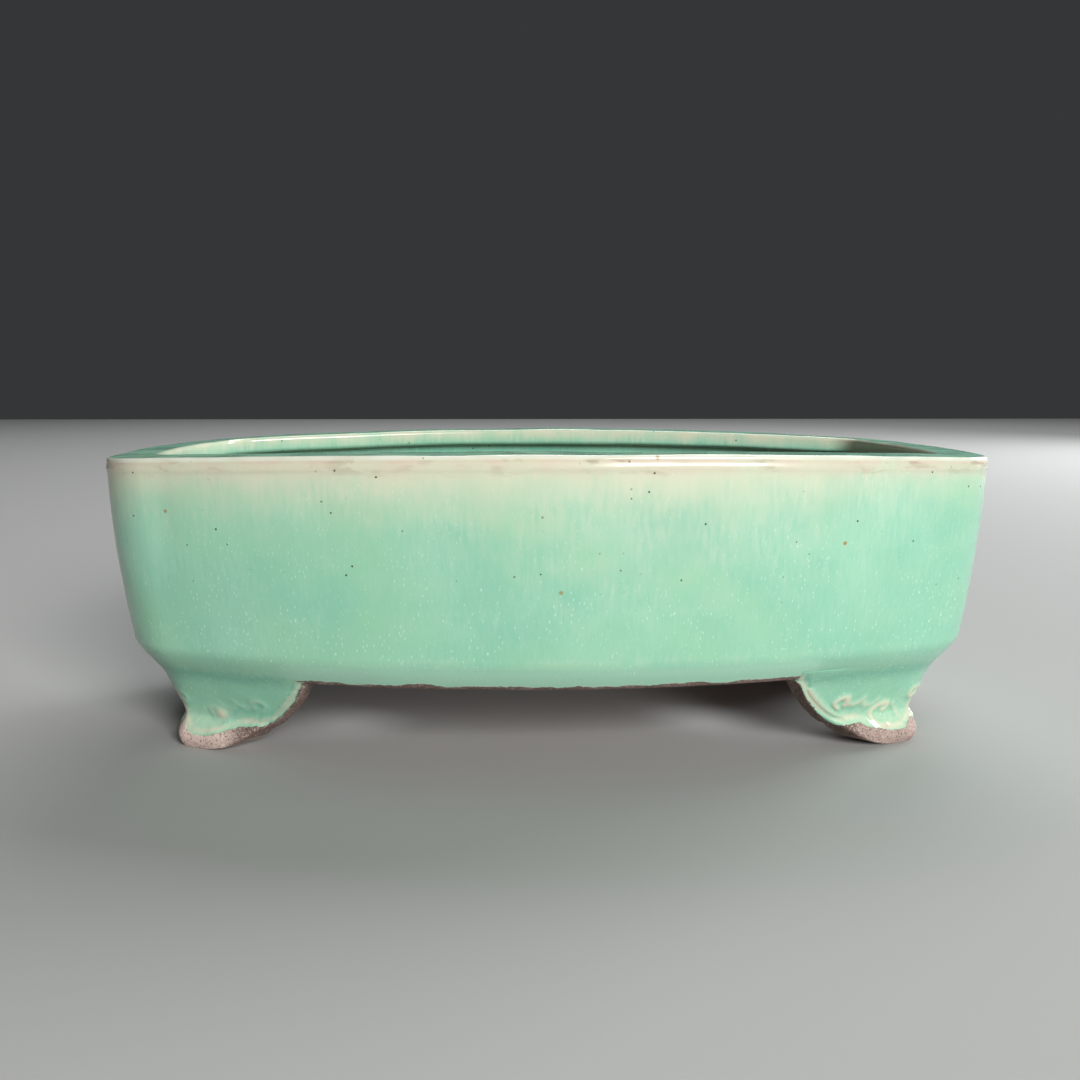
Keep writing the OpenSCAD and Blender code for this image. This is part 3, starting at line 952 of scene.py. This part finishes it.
# White of the rim's edge: partly thin glaze, partly a painted highlight
EDGE_WHITE_AND_HIGHLIGHT = srgb(222, 226, 212)
BLUSH = srgb(206, 186, 170)
SMUDGE = srgb(150, 128, 110)
SPECK = srgb(58, 66, 40)
RUST = srgb(150, 108, 30)
BUBBLE = srgb(212, 238, 222)
CLAY_PINK = srgb(206, 182, 172)
CLAY_BROWN = srgb(104, 82, 74)
CLAY_GRAIN = srgb(216, 202, 192)
CLAY_PIT = srgb(74, 56, 50)


def clay_colour(shader, scorch):
    """Fired clay without glaze: pinkish to scorched brown, with pale grains and dark pits."""
    burnt = shader.math("ADD", scorch, shader.sway(5 * MM, 3), True)
    body = shader.mix(burnt, CLAY_PINK, CLAY_BROWN)
    grains = shader.span(shader.noise(0.45 * MM, 3), 0.52, 0.66)
    body = shader.mix(shader.times(grains, 0.5), body, CLAY_GRAIN)
    pits = shader.span(shader.noise(0.6 * MM, 3, shader.stretched(1.1, 0.9, 1)), 0.56, 0.68)
    return shader.mix(shader.times(pits, 0.75), body, CLAY_PIT)


def jade_glaze(shader, cream, pool, painted_light_band):
    """Jade in two hues with clouds, streaks and threads, pale where thin and teal where it pooled, and paler
    just above the base as painted light.
    """
    clouds = shader.sway(24 * MM, 3)
    hues = shader.sway(30 * MM, 2, shader.stretched(1, 1, 1.6))
    hues = shader.plus(hues, shader.times(shader.place("X"), -0.9))
    streaks = shader.sway(1.1 * MM, 3, shader.stretched(1, 1, 0.2))
    streaks = shader.times(streaks, shader.span(shader.noise(8 * MM, 2), 0.38, 0.6, 0.35, 1.15))
    threads = shader.sway(0.45 * MM, 2, shader.stretched(1, 1, 0.14))
    body = shader.mix(shader.span(hues, -0.14, 0.14), JADE, GREEN_JADE)
    pale = shader.plus(clouds, shader.times(streaks, 0.4), shader.times(threads, 0.28))
    body = shader.mix(shader.span(pale, -0.2, 0.4), body, PALE_JADE)
    # Painted light: paler jade on the strip just above the base
    body = shader.mix(painted_light_band, body, PAINTED_LIGHT_JADE)
    thin = shader.plus(cream, shader.times(shader.sway(6 * MM, 3), 0.3), shader.times(streaks, 0.38))
    body = shader.mix(shader.span(thin, 0.02, 1.0), body, CREAM)
    deep = shader.plus(pool, shader.times(streaks, -0.5), shader.times(clouds, -0.35))
    return shader.mix(shader.span(deep, 0.1, 1.0), body, TEAL)


def add_rim(shader, body, rim, edge):
    """A blush and brown marks under the rim, and its white edge, partly thin glaze and partly a painted
    highlight.
    """
    blush = shader.times(rim, shader.span(shader.noise(9 * MM, 3), 0.36, 0.6, 0.25, 0.8))
    body = shader.mix(blush, body, BLUSH)
    marks = shader.span(shader.noise(1.6 * MM, 4, shader.stretched(0.3, 0.3, 1)), 0.52, 0.66)
    marks = shader.times(marks, shader.span(shader.noise(17 * MM, 2), 0.4, 0.6))
    body = shader.mix(shader.times(rim, marks, 0.55), body, SMUDGE)
    # The rim's white edge, partly a painted highlight
    return shader.mix(edge, body, EDGE_WHITE_AND_HIGHLIGHT)


def add_specks(shader, body):
    """Pale bubbles, fewer towards the rim, and dark and rusty specks on the upper wall."""
    height = shader.place("Z")
    ragged = shader.times(shader.sway(0.5 * MM, 2), 0.5)
    bubbly = shader.times(shader.span(shader.noise(13 * MM, 2), 0.36, 0.6, 0.25, 1.0),
                          shader.span(height, 38 * MM, 68 * MM, 1.0, 0.4))
    fine = shader.dots(0.85 * MM, 0.05 * MM, 0.16 * MM, shader.stretched(1, 1, 0.36))
    body = shader.mix(shader.times(fine, bubbly, 0.5), body, BUBBLE)
    bold = shader.dots(3.3 * MM, 0.12 * MM, 0.16 * MM, shader.stretched(1, 1, 0.6), ragged)
    body = shader.mix(shader.times(bold, bubbly, 0.65), body, BUBBLE)
    upper = shader.span(height, 40 * MM, 52 * MM)
    patchy = shader.times(upper, shader.span(shader.noise(7 * MM, 2), 0.42, 0.52))
    specks = shader.dots(3.7 * MM, 0.17 * MM, 0.18 * MM, None, ragged)
    body = shader.mix(shader.times(specks, patchy), body, SPECK)
    rust = shader.dots(13 * MM, 0.26 * MM, 0.5 * MM, None, ragged)
    return shader.mix(shader.times(rust, upper, 0.85), body, RUST)


def glaze_material(name):
    """The pot's glaze, which gives way to bare clay where its bare layer says."""
    shader = Shader(name)
    glaze = jade_glaze(shader, shader.layer("cream"), shader.layer("pool"), shader.layer("painted_light_band"))
    glaze = add_rim(shader, glaze, shader.layer("rim"), shader.layer("edge"))
    glaze = add_specks(shader, glaze)
    clay = clay_colour(shader, shader.layer("scorch"))
    ragged = shader.times(shader.sway(1.6 * MM, 4), 0.9)
    bare = shader.span(shader.plus(shader.layer("bare"), ragged), 0.42, 0.58)
    shader.feed(shader.surface.inputs["Base Color"], shader.mix(bare, glaze, clay))
    satin = shader.span(shader.noise(9 * MM, 2), 0.3, 0.7, 0.13, 0.25)
    rough = shader.plus(shader.times(bare, 0.6), satin)
    shader.feed(shader.surface.inputs["Roughness"], rough)
    peel = shader.raised(shader.noise(4 * MM, 2), 0.05 * MM, 0.5)
    grit = shader.times(shader.noise(0.6 * MM, 4), bare)
    shader.feed(shader.surface.inputs["Normal"], shader.raised(grit, 0.35 * MM, 0.9, peel))
    return shader.material


def clay_material(name):
    """The unglazed floor and underside."""
    shader = Shader(name)
    shader.feed(shader.surface.inputs["Base Color"], clay_colour(shader, shader.layer("scorch")))
    rough = shader.span(shader.noise(3 * MM, 2), 0.3, 0.7, 0.8, 0.95)
    shader.feed(shader.surface.inputs["Roughness"], rough)
    shader.feed(shader.surface.inputs["Normal"], shader.raised(shader.noise(0.6 * MM, 4), 0.3 * MM, 0.8))
    return shader.material


def plain_material(name, colour, roughness):
    """One colour and roughness all over, for the floor."""
    shader = Shader(name)
    shader.surface.inputs["Base Color"].default_value = colour
    shader.surface.inputs["Roughness"].default_value = roughness
    return shader.material


# ---------------------------------------------------------------- camera, floor and light

CAMERA_AT = (-8.96 * MM, -304.3 * MM, 96 * MM)
CAMERA_PITCH = 0.150
CAMERA_YAW = 0.023
CAMERA_LENS = 34.667
CAMERA_SENSOR = 36

FLOOR_HALF = 2.5
FLOOR_GREY = srgb(166, 166, 164)
FLOOR_ROUGHNESS = 0.95

# Each light's place, size, power in watts and colour
LIGHTS = {
    "key": ((0.86, -1.85, 0.86), (0.75, 0.75), 60, (1.0, 0.99, 0.98)),
    "window": ((1.36, 0.85, 0.50), (0.8, 0.6), 20, (0.96, 0.98, 1.0)),
    "back": ((0.50, 1.50, 2.00), (1.8, 1.3), 40, (0.96, 0.98, 1.0)),
}
LIGHTS_AIM = (0, 0, 0.04)
ROOM_COLOUR = (0.80, 0.82, 0.85, 1)
ROOM_STRENGTH = 0.045


def make_camera():
    """The camera of the photo, level across and pitched a little down."""
    data = bpy.data.cameras.new("camera")
    data.lens = CAMERA_LENS
    data.sensor_width = CAMERA_SENSOR
    data.clip_start = 0.01
    data.clip_end = 20
    camera = bpy.data.objects.new("camera", data)
    camera.location = CAMERA_AT
    camera.rotation_euler = (np.pi / 2 - CAMERA_PITCH, 0, -CAMERA_YAW)
    bpy.context.scene.collection.objects.link(camera)
    bpy.context.scene.camera = camera


def make_floor():
    """A wide pale floor in the plane of the toes."""
    mesh = bpy.data.meshes.new("floor")
    corners = [(x * FLOOR_HALF, y * FLOOR_HALF, 0) for x, y in ((-1, -1), (1, -1), (1, 1), (-1, 1))]
    mesh.from_pydata(corners, [], [(0, 1, 2, 3)])
    floor = bpy.data.objects.new("floor", mesh)
    bpy.context.scene.collection.objects.link(floor)
    floor.data.materials.append(plain_material("floor", FLOOR_GREY, FLOOR_ROUGHNESS))


def add_light(name, place, size, power, colour):
    """A rectangular soft light that faces the pot."""
    data = bpy.data.lights.new(name, "AREA")
    data.shape = "RECTANGLE"
    data.size, data.size_y = size
    data.energy = power
    data.color = colour
    light = bpy.data.objects.new(name, data)
    light.location = place
    light.rotation_euler = (Vector(LIGHTS_AIM) - Vector(place)).to_track_quat("-Z", "Y").to_euler()
    bpy.context.scene.collection.objects.link(light)


def make_lights():
    """A soft key from the front right, two dimmer lights behind the pot and a dim room."""
    for name, light in LIGHTS.items():
        add_light(name, *light)
    world = bpy.data.worlds.new("room")
    world.use_nodes = True
    background = world.node_tree.nodes["Background"]
    background.inputs["Color"].default_value = ROOM_COLOUR
    background.inputs["Strength"].default_value = ROOM_STRENGTH
    bpy.context.scene.world = world
    bpy.context.scene.view_settings.view_transform = "Standard"


# ---------------------------------------------------------------- the pot

make_camera()
glaze = glaze_material("green_glaze")
foot_glaze = glaze_material("foot_glaze")
clay = clay_material("bare_stoneware")
skin = Skin()
make_walls(skin, glaze)
make_base(skin, glaze, clay)
make_feet(foot_glaze)
make_floor()
make_lights()
